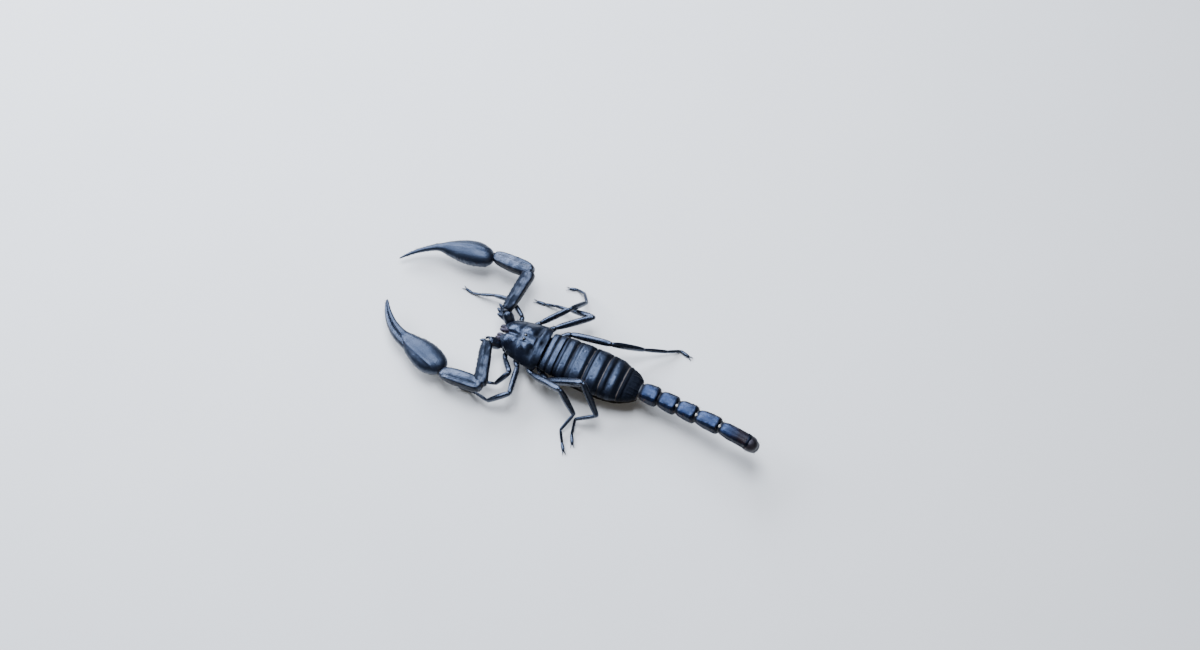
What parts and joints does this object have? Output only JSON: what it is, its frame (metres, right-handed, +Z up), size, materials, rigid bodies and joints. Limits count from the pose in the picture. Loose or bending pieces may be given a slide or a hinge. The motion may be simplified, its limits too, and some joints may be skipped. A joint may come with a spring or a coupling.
{
  "type": "asian forest scorpion",
  "caption": "Life-size scorpion standing still with both pincers held forward, a long body of overlapping back plates and a straight raised tail.",
  "frame": {"origin": "middle of the bounding box at ground level, under the scorpion's back", "axes": "-Y the way the scorpion faces, +Y towards the tail, +X its left side, +Z up from the ground"},
  "size_m": [0.0602, 0.1482, 0.0168],
  "materials": {
    "back_cuticle": "satin blue-black plates, finely granular",
    "tail_cuticle": "satin blue-black, slightly bluer on top",
    "claw_cuticle": "satin slate blue-black, granular and netted",
    "limb_cuticle": "glossy black with a cool sheen",
    "belly_cuticle": "smooth dark brown",
    "soft_membrane": "matte folded brown skin",
    "comb_cuticle": "dull yellow-brown",
    "telson_cuticle": "satin dark red-brown",
    "eye_lens": "polished black"
  },
  "bodies": {
    "root": {"carapace": "back_cuticle", "underside": "limb_cuticle", "median_eye_left": "eye_lens", "lateral_eyes_left": "eye_lens", "chelicera_left": "limb_cuticle", "median_eye_right": "eye_lens", "lateral_eyes_right": "eye_lens", "chelicera_right": "limb_cuticle", "tergite_1": "back_cuticle", "tergite_2": "back_cuticle", "tergite_3": "back_cuticle", "tergite_4": "back_cuticle", "tergite_5": "back_cuticle", "tergite_6": "back_cuticle", "tergite_7": "back_cuticle", "trunk": "soft_membrane", "sternite_3": "belly_cuticle", "sternite_4": "belly_cuticle", "sternite_5": "belly_cuticle", "sternite_6": "belly_cuticle", "sternite_7": "belly_cuticle", "genital_operculum": "belly_cuticle", "pectine_left": "comb_cuticle", "pectine_right": "comb_cuticle", "tail_1": "tail_cuticle", "tail_2": "tail_cuticle", "tail_3": "tail_cuticle", "tail_4": "tail_cuticle", "tail_5": "tail_cuticle", "telson": "telson_cuticle", "pedipalp_trochanter_left": "claw_cuticle", "pedipalp_femur_left": "claw_cuticle", "pedipalp_patella_left": "claw_cuticle", "pedipalp_hand_left": "claw_cuticle", "pedipalp_movable_finger_left": "claw_cuticle", "leg_1_upper_left": "limb_cuticle", "leg_1_lower_left": "limb_cuticle", "leg_2_upper_left": "limb_cuticle", "leg_2_lower_left": "limb_cuticle", "leg_3_upper_left": "limb_cuticle", "leg_3_lower_left": "limb_cuticle", "leg_4_upper_left": "limb_cuticle", "leg_4_lower_left": "limb_cuticle", "pedipalp_trochanter_right": "claw_cuticle", "pedipalp_femur_right": "claw_cuticle", "pedipalp_patella_right": "claw_cuticle", "pedipalp_hand_right": "claw_cuticle", "pedipalp_movable_finger_right": "claw_cuticle", "leg_1_upper_right": "limb_cuticle", "leg_1_lower_right": "limb_cuticle", "leg_2_upper_right": "limb_cuticle", "leg_2_lower_right": "limb_cuticle", "leg_3_upper_right": "limb_cuticle", "leg_3_lower_right": "limb_cuticle", "leg_4_upper_right": "limb_cuticle", "leg_4_lower_right": "limb_cuticle"}
  },
  "joints": []
}
